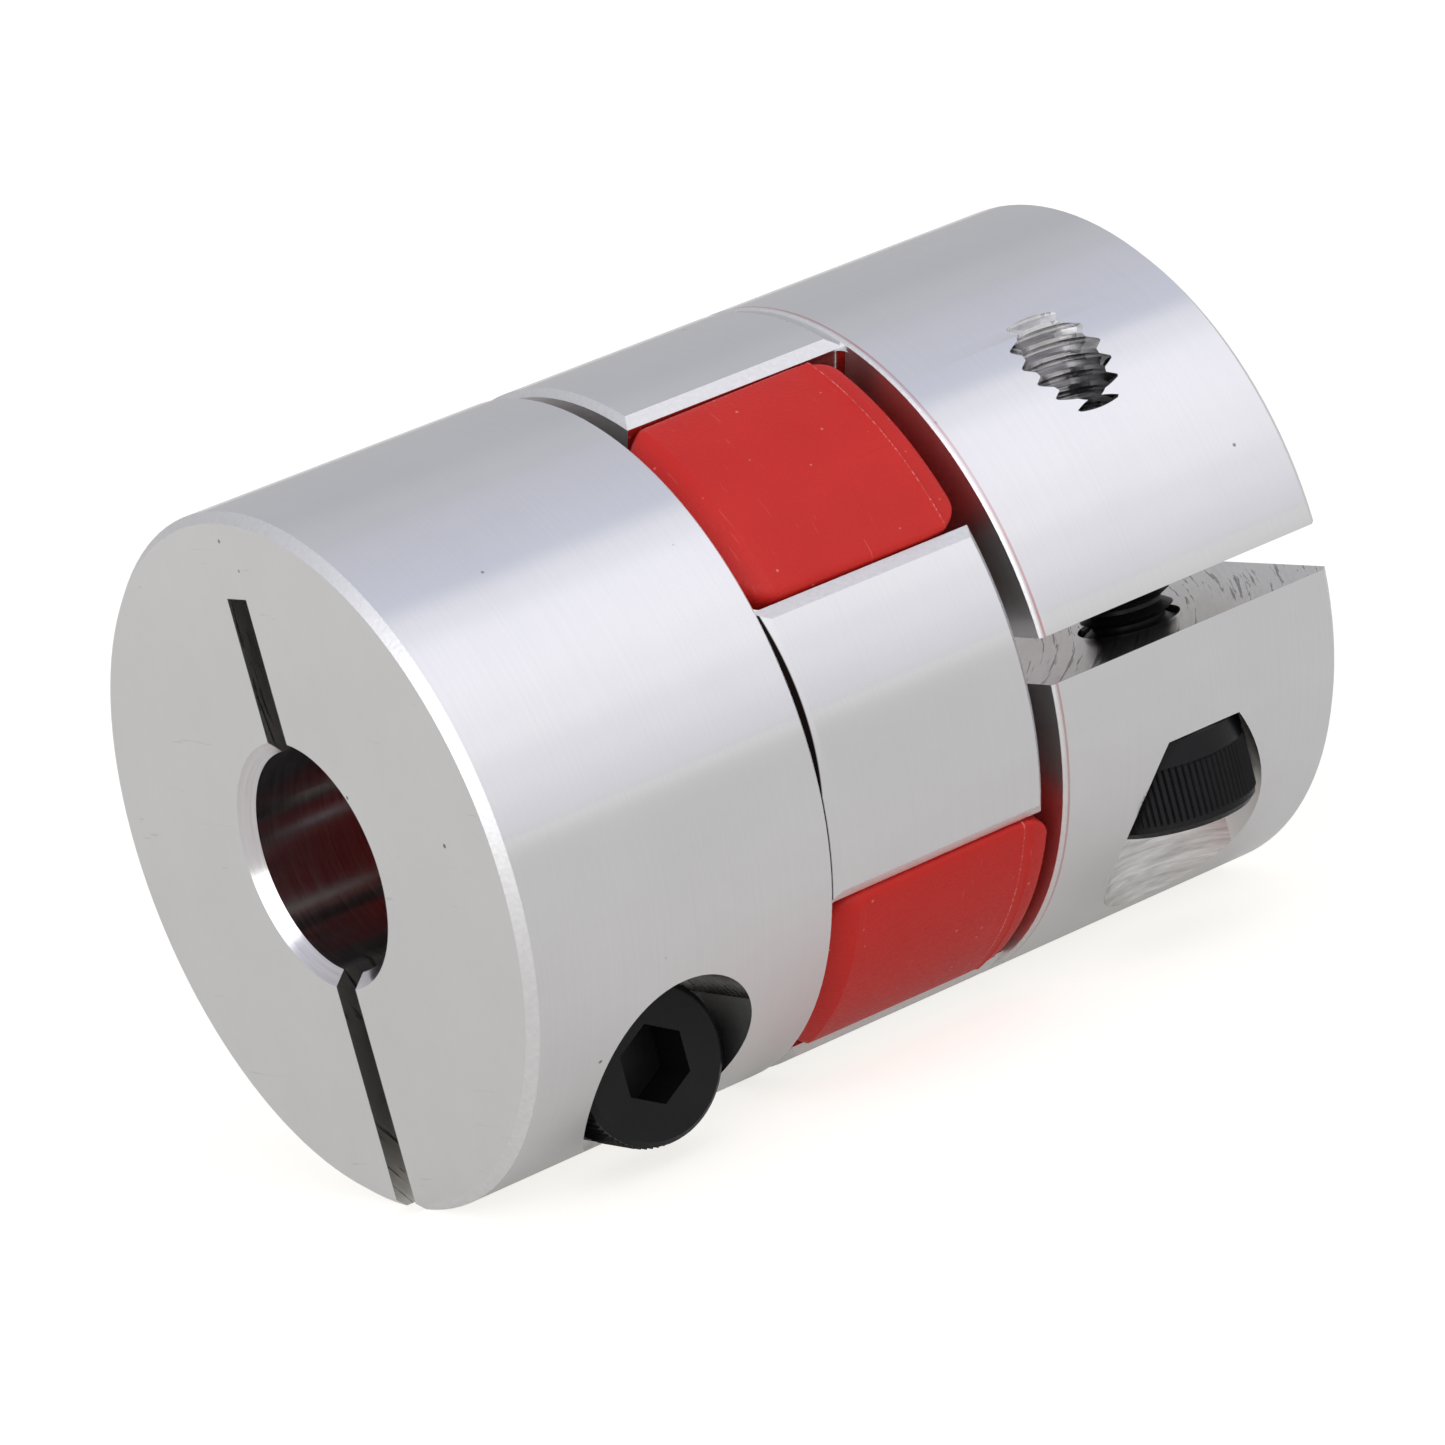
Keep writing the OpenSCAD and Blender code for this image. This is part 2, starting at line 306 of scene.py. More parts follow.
stretched = node(tree, "ShaderNodeMapping", {
    "Vector": place, "Rotation": (0.4, 0.0, 0.0),
    "Scale": (1 / MM, 1 / (5 * MM), 1 / (0.45 * MM)),
})
hairs = node(tree, "ShaderNodeTexNoise", {
    "Vector": stretched.outputs["Vector"], "Scale": 1.0, "Detail": 5.0, "Distortion": 1.5,
})
hair = node(tree, "ShaderNodeMapRange", {
    "Value": hairs.outputs["Fac"], "From Min": 0.70, "From Max": 0.74,
    "To Min": 0.0, "To Max": 0.35,
})
tone = node(tree, "ShaderNodeMix", {
    "Factor": cloud.outputs["Fac"], "A": linear("#EFEFEE"), "B": linear("#F9F9F8"),
}, data_type="RGBA")
stained = node(tree, "ShaderNodeMix", {
    "Factor": speck.outputs["Result"], "A": tone.outputs["Result"], "B": linear("#6E6C6A"),
}, data_type="RGBA")
scratched = node(tree, "ShaderNodeMix", {
    "Factor": hair.outputs["Result"], "A": stained.outputs["Result"], "B": linear("#C9C9C9"),
}, data_type="RGBA")
ridges = node(tree, "ShaderNodeBump", {
    "Height": rings.outputs["Fac"], "Strength": 0.5, "Distance": 0.004 * MM,
})
surface = node(tree, "ShaderNodeBsdfPrincipled", {
    "Base Color": scratched.outputs["Result"], "Roughness": 0.34,
    "Normal": ridges.outputs["Normal"], "Metallic": 1.0,
})
node(tree, "ShaderNodeOutputMaterial", {"Surface": surface.outputs["BSDF"]})

# The same metal inside the bore. The boring bar leaves fine rings, drawn 0.12 mm apart and very
# shallow, so the wall still mirrors what stands at its far end.
bored_aluminium, tree = empty_material("bored_aluminium")
place = node(tree, "ShaderNodeTexCoord").outputs["Object"]
*_, wrapped = round_shaft(tree, place, 0.12 * MM)
feed = node(tree, "ShaderNodeTexNoise", {
    "Vector": wrapped, "Scale": 1.0, "Detail": 5.0, "Roughness": 0.75,
}, noise_dimensions="2D")
tone = node(tree, "ShaderNodeMix", {
    "Factor": feed.outputs["Fac"], "A": linear("#DDD8DA"), "B": linear("#FFFCFD"),
}, data_type="RGBA")
dull = node(tree, "ShaderNodeMapRange", {
    "Value": feed.outputs["Fac"], "From Min": 0.3, "From Max": 0.7,
    "To Min": 0.12, "To Max": 0.2,
})
ridges = node(tree, "ShaderNodeBump", {
    "Height": feed.outputs["Fac"], "Strength": 0.1, "Distance": 0.008 * MM,
})
surface = node(tree, "ShaderNodeBsdfPrincipled", {
    "Base Color": tone.outputs["Result"], "Roughness": dull.outputs["Result"],
    "Normal": ridges.outputs["Normal"], "Metallic": 1.0,
})
node(tree, "ShaderNodeOutputMaterial", {"Surface": surface.outputs["BSDF"]})

# The same metal where a slitting saw went through: its teeth leave long arcs about 0.25 mm
# apart, a few of them torn deep and dark, on a bright scored ground.
sawn_aluminium, tree = empty_material("sawn_aluminium")
lie = node(tree, "ShaderNodeAttribute", attribute_name="clamp_place").outputs["Vector"]
from_arbor = node(tree, "ShaderNodeVectorMath", {
    0: lie, 1: saw_arbor}, operation="DISTANCE")
arc = node(tree, "ShaderNodeMath", {0: from_arbor.outputs["Value"], 1: 1 / (0.25 * MM)},
           operation="MULTIPLY")
lie_axes = node(tree, "ShaderNodeSeparateXYZ", {"Vector": lie})
drift = node(tree, "ShaderNodeMath", {0: lie_axes.outputs["Y"], 1: 1 / (5 * MM)},
             operation="MULTIPLY")
swept = node(tree, "ShaderNodeCombineXYZ", {"X": arc.outputs[0], "Y": drift.outputs[0]})
scores = node(tree, "ShaderNodeTexNoise", {
    "Vector": swept.outputs[0], "Scale": 1.0, "Detail": 4.0, "Roughness": 0.7,
}, noise_dimensions="2D")
torn = node(tree, "ShaderNodeMapRange", {
    "Value": scores.outputs["Fac"], "From Min": 0.58, "From Max": 0.63,
    "To Min": 0.0, "To Max": 0.85,
})
ground = node(tree, "ShaderNodeMix", {
    "Factor": scores.outputs["Fac"], "A": linear("#D2CFCC"), "B": linear("#FFFEFC"),
}, data_type="RGBA")
tone = node(tree, "ShaderNodeMix", {
    "Factor": torn.outputs["Result"], "A": ground.outputs["Result"], "B": linear("#655F5B"),
}, data_type="RGBA")
ridges = node(tree, "ShaderNodeBump", {
    "Height": scores.outputs["Fac"], "Strength": 0.8, "Distance": 0.016 * MM,
})
surface = node(tree, "ShaderNodeBsdfPrincipled", {
    "Base Color": tone.outputs["Result"], "Roughness": 0.25,
    "Normal": ridges.outputs["Normal"], "Metallic": 1.0,
})
node(tree, "ShaderNodeOutputMaterial", {"Surface": surface.outputs["BSDF"]})

# The same metal where an end mill swept the jaws' sides and plunged the screw's pocket: bright,
# with smeared streaks round the cutter about 0.22 mm apart.
milled_aluminium, tree = empty_material("milled_aluminium")
lie = node(tree, "ShaderNodeAttribute", attribute_name="clamp_place").outputs["Vector"]
swept = node(tree, "ShaderNodeMapping", {
    "Vector": lie, "Rotation": (0.0, 0.35, 0.0),
    "Scale": (1 / (2.2 * MM), 1 / (2.2 * MM), 1 / (0.22 * MM)),
})
streak = node(tree, "ShaderNodeTexNoise", {
    "Vector": swept.outputs["Vector"], "Scale": 1.0, "Detail": 5.0, "Roughness": 0.6,
    "Distortion": 0.3,
})
smear = node(tree, "ShaderNodeMapRange", {
    "Value": streak.outputs["Fac"], "From Min": 0.35, "From Max": 0.65,
})
tone = node(tree, "ShaderNodeMix", {
    "Factor": smear.outputs["Result"], "A": linear("#CFCDCB"), "B": linear("#FBFAF9"),
}, data_type="RGBA")
ridges = node(tree, "ShaderNodeBump", {
    "Height": streak.outputs["Fac"], "Strength": 0.8, "Distance": 0.012 * MM,
})
surface = node(tree, "ShaderNodeBsdfPrincipled", {
    "Base Color": tone.outputs["Result"], "Roughness": 0.13,
    "Normal": ridges.outputs["Normal"], "Metallic": 1.0,
})
node(tree, "ShaderNodeOutputMaterial", {"Surface": surface.outputs["BSDF"]})

# The same metal under the tap: torn rings round the hole, 0.07 mm apart, dark and bright.
tapped_aluminium, tree = empty_material("tapped_aluminium")
lie = node(tree, "ShaderNodeAttribute", attribute_name="clamp_place").outputs["Vector"]
swept = node(tree, "ShaderNodeMapping", {
    "Vector": lie, "Scale": (1 / (1.1 * MM), 1 / (1.1 * MM), 1 / (0.07 * MM)),
})
tears = node(tree, "ShaderNodeTexNoise", {
    "Vector": swept.outputs["Vector"], "Scale": 1.0, "Detail": 3.0, "Roughness": 0.6,
})
tone = node(tree, "ShaderNodeMix", {
    "Factor": tears.outputs["Fac"], "A": linear("#918F93"), "B": linear("#FFFFFF"),
}, data_type="RGBA")
ridges = node(tree, "ShaderNodeBump", {
    "Height": tears.outputs["Fac"], "Strength": 0.9, "Distance": 0.012 * MM,
})
surface = node(tree, "ShaderNodeBsdfPrincipled", {
    "Base Color": tone.outputs["Result"], "Roughness": 0.14,
    "Normal": ridges.outputs["Normal"], "Metallic": 1.0,
})
node(tree, "ShaderNodeOutputMaterial", {"Surface": surface.outputs["BSDF"]})

# The same metal where edges were broken with a file: a soft white line on every rim.
filed_aluminium, tree = empty_material("filed_aluminium")
place = node(tree, "ShaderNodeTexCoord").outputs["Object"]
grit = node(tree, "ShaderNodeTexNoise", {"Vector": place, "Scale": 1 / (0.2 * MM), "Detail": 4.0})
tone = node(tree, "ShaderNodeMix", {
    "Factor": grit.outputs["Fac"], "A": linear("#ECEBEA"), "B": linear("#FFFFFF"),
}, data_type="RGBA")
ridges = node(tree, "ShaderNodeBump", {
    "Height": grit.outputs["Fac"], "Strength": 0.6, "Distance": 0.02 * MM,
})
surface = node(tree, "ShaderNodeBsdfPrincipled", {
    "Base Color": tone.outputs["Result"], "Roughness": 0.48,
    "Normal": ridges.outputs["Normal"], "Metallic": 1.0,
})
node(tree, "ShaderNodeOutputMaterial", {"Surface": surface.outputs["BSDF"]})

# The same metal in the narrow groove at a jaw's root: bright, with painted shade, a near black
# band, in the stretch that faces forward on the left hub.
shaded_groove, tree = empty_material("groove_aluminium_painted_shade")
place = node(tree, "ShaderNodeTexCoord").outputs["Object"]
axes = node(tree, "ShaderNodeSeparateXYZ", {"Vector": place})
height = node(tree, "ShaderNodeMapRange", {
    "Value": axes.outputs["Z"], "From Min": -1.6 * MM, "From Max": 6.4 * MM,
    "To Min": -1.0, "To Max": 1.0,
})
fall = node(tree, "ShaderNodeMath", {
    0: height.outputs["Result"], 1: height.outputs["Result"]}, operation="MULTIPLY")
brim = node(tree, "ShaderNodeMath", {
    0: fall.outputs[0], 1: shade_fall, 2: shade_brim}, operation="MULTIPLY_ADD")
depth = node(tree, "ShaderNodeMath", {0: brim.outputs[0], 1: axes.outputs["X"]},
             operation="SUBTRACT")
shade_band = node(tree, "ShaderNodeMapRange", {
    "Value": depth.outputs[0], "From Min": -0.01 * MM, "From Max": 0.04 * MM})
near = node(tree, "ShaderNodeMath", {0: axes.outputs["Y"], 1: shade_front}, operation="LESS_THAN")
painted_shade = node(tree, "ShaderNodeMath", {0: near.outputs[0], 1: shade_band.outputs["Result"]},
           operation="MULTIPLY")
# painted shade: the groove turns near black where the mask is set
tone = node(tree, "ShaderNodeMix", {
    "Factor": painted_shade.outputs[0], "A": linear("#F4F4F5"), "B": linear("#1B1514"),
}, data_type="RGBA")
surface = node(tree, "ShaderNodeBsdfPrincipled", {
    "Base Color": tone.outputs["Result"], "Roughness": 0.22, "Metallic": 1.0,
})
node(tree, "ShaderNodeOutputMaterial", {"Surface": surface.outputs["BSDF"]})

finishes = [turned_aluminium, faced_aluminium, bored_aluminium, sawn_aluminium,
            milled_aluminium, tapped_aluminium, filed_aluminium, shaded_groove]


def finish_at(centre, normal, joint):
    """The number, in the list of finishes, of the one that the metal has here."""
    axis, seat = Vector(joint["axis"]), Vector(joint["pos_m"])
    radial = Vector((0, centre.y, centre.z))
    rise = normal.dot(radial.normalized())
    down = -(centre - seat).dot(axis)
    beside_bolt = (centre - seat + axis * down).length
    if radial.length > hub_radius - rim_band and rise > 0.5:
        if rise > 0.97:
            return 0
        return 7 if rise > 0.8 and abs(normal.x) > 0.3 else 6
    if abs(centre.dot(axis)) < slot_reach and radial.length > bore_reach - bore_band:
        if abs(normal.dot(axis)) > 0.9 or (abs(normal.x) < 0.1 and rise < -0.9):
            return 3
    if radial.length < bore_reach and rise < -0.3:
        return 2
    if abs(normal.x) > 0.9:
        return 1
    return 5 if down > seat_depth and beside_bolt < tapped_reach else 4


def hub_piece(name, cad_name, joint):
    """The hub's own mesh, its corners joined, each surface given the finish of its tool."""
    axis, seat = Vector(joint["axis"]), Vector(joint["pos_m"])
    sideways = Vector((0, seat.y, seat.z))
    sideways = (sideways - axis * sideways.dot(axis)).normalized()
    mesh = frame["nodes"][cad_name].data.copy()
    mesh.name = name
    shape = bmesh.new()
    shape.from_mesh(mesh)
    bmesh.ops.remove_doubles(shape, verts=shape.verts, dist=0.0002 * MM)
    for face in shape.faces:
        face.material_index = finish_at(face.calc_center_median(), face.normal, joint)
        face.smooth = True
    for edge in shape.edges:
        edge.smooth = edge.calc_face_angle(0) < math.radians(25)
    clamp_place = shape.verts.layers.float_vector.new("clamp_place")
    for corner in shape.verts:
        at = corner.co
        corner[clamp_place] = Vector((abs(at.x), at.dot(sideways), at.dot(axis)))
    mesh.clear_geometry()
    mesh.materials.clear()
    for finish in finishes:
        mesh.materials.append(finish)
    shape.to_mesh(mesh)
    shape.free()
    return placed(name, mesh)


left_hub = hub_piece("left_hub_machined", "left_hub", screw_turns["left_screw_turn"])
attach(left_hub, "left_hub")
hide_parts("left_hub")

# ---- Left clamp screw ------------------------------------------------------------------------
# A hex socket cap screw, forged and rolled from steel, blackened and oiled. It goes in from the
# side of the hub, across the slot, into the tapped hole in the other lip.

head_radius, head_height, head_chamfer = 3.5 * MM, 4 * MM, 0.25 * MM
socket_flats, socket_depth = 3 * MM, 2.2 * MM
thread_radius, thread_pitch, screw_length, plain_length = 2 * MM, 0.7 * MM, 12 * MM, 1.6 * MM
thread_root = thread_radius - 0.6134 * thread_pitch  # depth of a metric outside thread
first_turn, thread_turns, rib_half_width = 3, 13, 0.375
knurl_count, knurl_height = 76, 0.1 * MM
plain_band, front_band = 1.15 * MM, 0.5 * MM
crown, band_ease, knurl_foot = 0.35 * MM, 0.03 * MM, 0.1 * MM
seat_ease, seat_edge = 0.15 * MM, 0.12 * MM
thread_runout, tip_chamfer = 0.4 * MM, 0.3 * MM

# Black oxide on steel: a thin, nearly black film with a low oily gloss, greyer in worn patches.
black_oxide_steel, tree = empty_material("black_oxide_steel")
place = node(tree, "ShaderNodeTexCoord")
grain = node(tree, "ShaderNodeTexNoise", {
    "Vector": place.outputs["Object"], "Scale": 1 / (0.25 * MM), "Detail": 4.0,
})
patch = node(tree, "ShaderNodeTexNoise", {
    "Vector": place.outputs["Object"], "Scale": 1 / (2.5 * MM), "Detail": 2.0,
})
tone = node(tree, "ShaderNodeMix", {
    "Factor": patch.outputs["Fac"], "A": linear("#070708"), "B": linear("#1B1B1E"),
}, data_type="RGBA")
dull = node(tree, "ShaderNodeMapRange", {
    "Value": grain.outputs["Fac"], "From Min": 0.3, "From Max": 0.7,
    "To Min": 0.3, "To Max": 0.48,
})
pitting = node(tree, "ShaderNodeBump", {
    "Height": grain.outputs["Fac"], "Strength": 0.5, "Distance": 0.01 * MM,
})
surface = node(tree, "ShaderNodeBsdfPrincipled", {
    "Base Color": tone.outputs["Result"], "Roughness": dull.outputs["Result"],
    "Normal": pitting.outputs["Normal"], "IOR": 1.5, "Specular IOR Level": 0.3,
})
node(tree, "ShaderNodeOutputMaterial", {"Surface": surface.outputs["BSDF"]})


def lathe(name, profile, segments):
    """A closed solid turned about Z from (radius, height) points that start and end on Z."""
    shape = bmesh.new()
    rings = []
    for r, z in profile:
        if r == 0:
            rings.append([shape.verts.new((0, 0, z))])
        else:
            rings.append([
                shape.verts.new((r * math.cos(a), r * math.sin(a), z))
                for a in (2 * math.pi * i / segments for i in range(segments))
            ])
    for lower, upper in zip(rings, rings[1:]):
        for i in range(segments):
            j = (i + 1) % segments
            corners = [lower[i % len(lower)], lower[j % len(lower)],
                       upper[j % len(upper)], upper[i % len(upper)]]
            shape.faces.new(list(dict.fromkeys(corners)))
    bmesh.ops.recalc_face_normals(shape, faces=shape.faces)
    mesh = bpy.data.meshes.new(name)
    shape.to_mesh(mesh)
    shape.free()
    return mesh


# Knurl and thread: ridges set round the head, and turns of thread set down the shank. The turns
# are closed rings at the pitch of the rings in the hub's tapped hole, so that each crest stands
# in a groove. A real thread is one helix.
ridges_tree = bpy.data.node_groups.new("knurl_and_thread", "GeometryNodeTree")
sockets = ridges_tree.interface
sockets.new_socket("Geometry", in_out="INPUT", socket_type="NodeSocketGeometry")
wanted = {
    "Ridges": ("NodeSocketInt", knurl_count),
    "Head Radius": ("NodeSocketFloat", head_radius - knurl_height),
    "Ridge Height": ("NodeSocketFloat", knurl_height),
    "Ridge Length": ("NodeSocketFloat", head_height - front_band - plain_band),
    "Ridge Middle": ("NodeSocketFloat", (head_height - front_band + plain_band) / 2),
    "Thread Radius": ("NodeSocketFloat", thread_radius),
    "Thread Root": ("NodeSocketFloat", thread_root),
    "Thread Turns": ("NodeSocketInt", thread_turns),
    "First Crest": ("NodeSocketFloat", -first_turn * thread_pitch - thread_pitch / 16),
    "Pitch": ("NodeSocketFloat", thread_pitch),
    "Finish": ("NodeSocketMaterial", black_oxide_steel),
}
for label, (kind, value) in wanted.items():
    sockets.new_socket(label, in_out="INPUT", socket_type=kind)
sockets.new_socket("Geometry", in_out="OUTPUT", socket_type="NodeSocketGeometry")
entry = node(ridges_tree, "NodeGroupInput")
size = entry.outputs
# the ridges
round_head = node(ridges_tree, "GeometryNodeMeshCircle", {
    "Vertices": size["Ridges"], "Radius": size["Head Radius"],
})
outwards = node(ridges_tree, "GeometryNodeInputPosition")
faced = node(ridges_tree, "FunctionNodeAlignRotationToVector", {
    "Vector": outwards.outputs["Position"],
}, axis="X", pivot_axis="Z")
thickness = node(ridges_tree, "ShaderNodeMath", {0: size["Ridge Height"], 1: 1.5},
                 operation="MULTIPLY")
ridge = node(ridges_tree, "GeometryNodeMeshCylinder", {
    "Vertices": 3, "Radius": thickness.outputs[0], "Depth": size["Ridge Length"],
})
sunk = node(ridges_tree, "ShaderNodeMath", {0: size["Ridge Height"], 1: -0.5},
            operation="MULTIPLY")
ridge_place = node(ridges_tree, "ShaderNodeCombineXYZ", {
    "X": sunk.outputs[0], "Z": size["Ridge Middle"],
})
ridge_moved = node(ridges_tree, "GeometryNodeTransform", {
    "Geometry": ridge.outputs["Mesh"], "Translation": ridge_place.outputs[0],
})
ridge_ring = node(ridges_tree, "GeometryNodeInstanceOnPoints", {
    "Points": round_head.outputs["Mesh"], "Instance": ridge_moved.outputs["Geometry"],
    "Rotation": faced.outputs["Rotation"],
})
# the thread
round_shank = node(ridges_tree, "GeometryNodeCurvePrimitiveCircle", {
    "Resolution": 72, "Radius": size["Thread Root"],
})
lying = node(ridges_tree, "GeometryNodeSetCurveNormal", {
    "Curve": round_shank.outputs["Curve"]}, mode="Z_UP")
rib_depth = node(ridges_tree, "ShaderNodeMath", {0: size["Thread Radius"], 1: size["Thread Root"]},
                 operation="SUBTRACT")
rib_width = node(ridges_tree, "ShaderNodeMath", {0: size["Pitch"], 1: rib_half_width},
                 operation="MULTIPLY")
rib_size = node(ridges_tree, "ShaderNodeCombineXYZ", {
    "X": rib_depth.outputs[0], "Y": rib_width.outputs[0], "Z": 1.0,
})
unit_rib = node(ridges_tree, "GeometryNodeCurvePrimitiveCircle", {"Resolution": 4, "Radius": 1.0})
rib = node(ridges_tree, "GeometryNodeTransform", {
    "Geometry": unit_rib.outputs["Curve"], "Scale": rib_size.outputs[0],
})
turn = node(ridges_tree, "GeometryNodeCurveToMesh", {
    "Curve": lying.outputs["Curve"], "Profile Curve": rib.outputs["Geometry"],
})
first_place = node(ridges_tree, "ShaderNodeCombineXYZ", {"Z": size["First Crest"]})
next_down = node(ridges_tree, "ShaderNodeMath", {0: size["Pitch"], 1: -1.0}, operation="MULTIPLY")
next_place = node(ridges_tree, "ShaderNodeCombineXYZ", {"Z": next_down.outputs[0]})
crests = node(ridges_tree, "GeometryNodeMeshLine", {
    "Count": size["Thread Turns"], "Start Location": first_place.outputs[0],
    "Offset": next_place.outputs[0],
}, mode="OFFSET")
thread = node(ridges_tree, "GeometryNodeInstanceOnPoints", {
    "Points": crests.outputs["Mesh"], "Instance": turn.outputs["Mesh"],
})
joined = node(ridges_tree, "GeometryNodeJoinGeometry")
for part in (entry.outputs["Geometry"], ridge_ring.outputs["Instances"],
             thread.outputs["Instances"]):
    ridges_tree.links.new(part, joined.inputs[0])
real = node(ridges_tree, "GeometryNodeRealizeInstances", {"Geometry": joined.outputs[0]})
painted = node(ridges_tree, "GeometryNodeSetMaterial", {
    "Geometry": real.outputs[0], "Material": size["Finish"],
})
node(ridges_tree, "NodeGroupOutput", {"Geometry": painted.outputs[0]})


def clamp_screw(name, joint):
    """One cap screw, its seat at the hinge and its head along the hinge's axis."""
    core = head_radius - knurl_height
    blank = placed(name + "_blank", lathe(name + "_blank", [
        (0, head_height), (core - head_chamfer - crown, head_height),
        (core - head_chamfer, head_height), (core, head_height - head_chamfer),
        (core, plain_band + knurl_foot), (head_radius - band_ease, plain_band),
        (head_radius - band_ease, seat_edge), (head_radius - seat_ease, 0),
        (thread_radius, 0), (thread_radius, -plain_length),
        (thread_root, -plain_length - thread_runout),
        (thread_root, -screw_length + tip_chamfer),
        (thread_root - tip_chamfer, -screw_length), (0, -screw_length),
    ], 72))
    socket_corner = socket_flats / 2 / math.cos(math.radians(30))
    socket_floor, socket_top = head_height - socket_depth, head_height + 1 * MM
    socket = lathe(name + "_socket", [
        (0, socket_floor), (socket_corner, socket_floor),
        (socket_corner, socket_top), (0, socket_top),
    ], 6)
    cutter = placed(name + "_cutter", socket)
    cut = blank.modifiers.new("socket", "BOOLEAN")
    cut.object, cut.operation, cut.solver = cutter, "DIFFERENCE", "EXACT"
    modifier = blank.modifiers.new("ridges", "NODES")
    modifier.node_group = ridges_tree
    for item in sockets.items_tree:
        if item.in_out == "INPUT" and item.name in wanted:
            modifier[item.identifier] = wanted[item.name][1]
    mesh = bpy.data.meshes.new_from_object(
        blank.evaluated_get(bpy.context.evaluated_depsgraph_get()))
    for spent in (blank, cutter):
        bpy.data.objects.remove(spent)
    axis = Vector(joint["axis"])
    mesh.transform(axis.to_track_quat("Z", "X").to_matrix().to_4x4())
    mesh.transform(Matrix.Translation(Vector(joint["pos_m"])))
    mesh.name = name
    mesh.shade_smooth()
    mesh.set_sharp_from_angle(angle=math.radians(28))
    return placed(name, mesh)


left_screw = clamp_screw("left_cap_screw", screw_turns["left_screw_turn"])
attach(left_screw, "left_screw")
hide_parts("left_clamp_screw")

# ---- Spider ----------------------------------------------------------------------------------
# The elastic star between the jaws, moulded in one shot from red polyurethane: four wedge lobes
# on a ring. The mould leaves rounded edges, a faint line round the lobes and a satin skin.

spider_low, spider_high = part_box("spider")
jaw_angle, flank_gap = 49.6, 0.08 * MM
lobe_radius, lobe_ease, lobe_inside = 14.85 * MM, 0.04 * MM, 6.2 * MM
lobe_half = math.radians((90 - jaw_angle) / 2)
lobe_apex = flank_gap / math.sin(lobe_half)
ring_outer, ring_inner, ring_inset = 7.15 * MM, 5.25 * MM, 0.8 * MM
left_round, left_bevel, right_round = 1.2 * MM, 0.75 * MM, 0.45 * MM
corner_round = 1.6 * MM
mould_line = spider_high.x - 1.05 * MM
flash_height, flash_half_width, parting_step = 0.05 * MM, 0.05 * MM, 0.08 * MM
front_lobe_from, front_lobe_to = 203, 247
front_lobe_shift, front_lobe_swell = 0.5 * MM, 0.1 * MM

# Moulded polyurethane: deep translucent red under a satin skin, with dust nibs and scuffs.
moulded_polyurethane, tree = empty_material("moulded_polyurethane")
place = node(tree, "ShaderNodeTexCoord").outputs["Object"]
cloud = node(tree, "ShaderNodeTexNoise", {
    "Vector": place, "Scale": 1 / (3 * MM), "Detail": 3.0,
})
grain = node(tree, "ShaderNodeTexNoise", {
    "Vector": place, "Scale": 1 / (0.16 * MM), "Detail": 3.0,
})
dust = node(tree, "ShaderNodeTexVoronoi", {
    "Vector": place, "Scale": 1 / (0.9 * MM),
})
nib = node(tree, "ShaderNodeMapRange", {
    "Value": dust.outputs["Distance"], "From Min": 0.05, "From Max": 0.09,
    "To Min": 0.75, "To Max": 0.0,
})
tone = node(tree, "ShaderNodeMix", {
    "Factor": cloud.outputs["Fac"], "A": linear("#C81E18"), "B": linear("#D6281F"),
}, data_type="RGBA")
dusty = node(tree, "ShaderNodeMix", {
    "Factor": nib.outputs["Result"], "A": tone.outputs["Result"], "B": linear("#E58A84"),
}, data_type="RGBA")
# the flat pad of an ejector pin, pressed a little into one lobe beside the mould line
axes, turn, _ = round_shaft(tree, place, MM)
pad_x = node(tree, "ShaderNodeMath", {0: axes.outputs["X"], 1: 3.1 * MM, 2: 0.9 * MM},
             operation="COMPARE")
pad_turn = node(tree, "ShaderNodeMath", {0: turn, 1: math.radians(133), 2: math.radians(5)},
                operation="COMPARE")
pad = node(tree, "ShaderNodeMath", {0: pad_x.outputs[0], 1: pad_turn.outputs[0]},
           operation="MULTIPLY")
scuffed = node(tree, "ShaderNodeMapping", {
    "Vector": place, "Rotation": (0.3, 0.8, 0.2),
    "Scale": (1 / (0.12 * MM), 1 / (1.6 * MM), 1 / (1.6 * MM)),
})
scuffs = node(tree, "ShaderNodeTexNoise", {
    "Vector": scuffed.outputs["Vector"], "Scale": 1.0, "Detail": 3.0, "Distortion": 0.5,
})
scuff = node(tree, "ShaderNodeMapRange", {
    "Value": scuffs.outputs["Fac"], "From Min": 0.69, "From Max": 0.74,
    "To Min": 0.0, "To Max": 0.45,
})
worn = node(tree, "ShaderNodeMix", {
    "Factor": scuff.outputs["Result"], "A": dusty.outputs["Result"], "B": linear("#E0685F"),
}, data_type="RGBA")
# thin torn flash, paler than the rest, stands on the mould line
on_line = node(tree, "ShaderNodeMath", {0: axes.outputs["X"], 1: mould_line, 2: 0.04 * MM},
               operation="COMPARE")
ragged = node(tree, "ShaderNodeMapRange", {
    "Value": grain.outputs["Fac"], "From Min": 0.46, "From Max": 0.62,
    "To Min": 0.05, "To Max": 0.6,
})
flash = node(tree, "ShaderNodeMath", {0: on_line.outputs[0], 1: ragged.outputs["Result"]},
             operation="MULTIPLY")
edged = node(tree, "ShaderNodeMix", {
    "Factor": flash.outputs[0], "A": worn.outputs["Result"], "B": linear("#F09A92"),
}, data_type="RGBA")
dull = node(tree, "ShaderNodeMapRange", {
    "Value": grain.outputs["Fac"], "From Min": 0.3, "From Max": 0.7,
    "To Min": 0.36, "To Max": 0.5,
})
sunk = node(tree, "ShaderNodeMath", {0: pad.outputs[0], 1: -2.0, 2: grain.outputs["Fac"]},
            operation="MULTIPLY_ADD")
skin = node(tree, "ShaderNodeBump", {
    "Height": sunk.outputs[0], "Strength": 0.8, "Distance": 0.03 * MM,
})
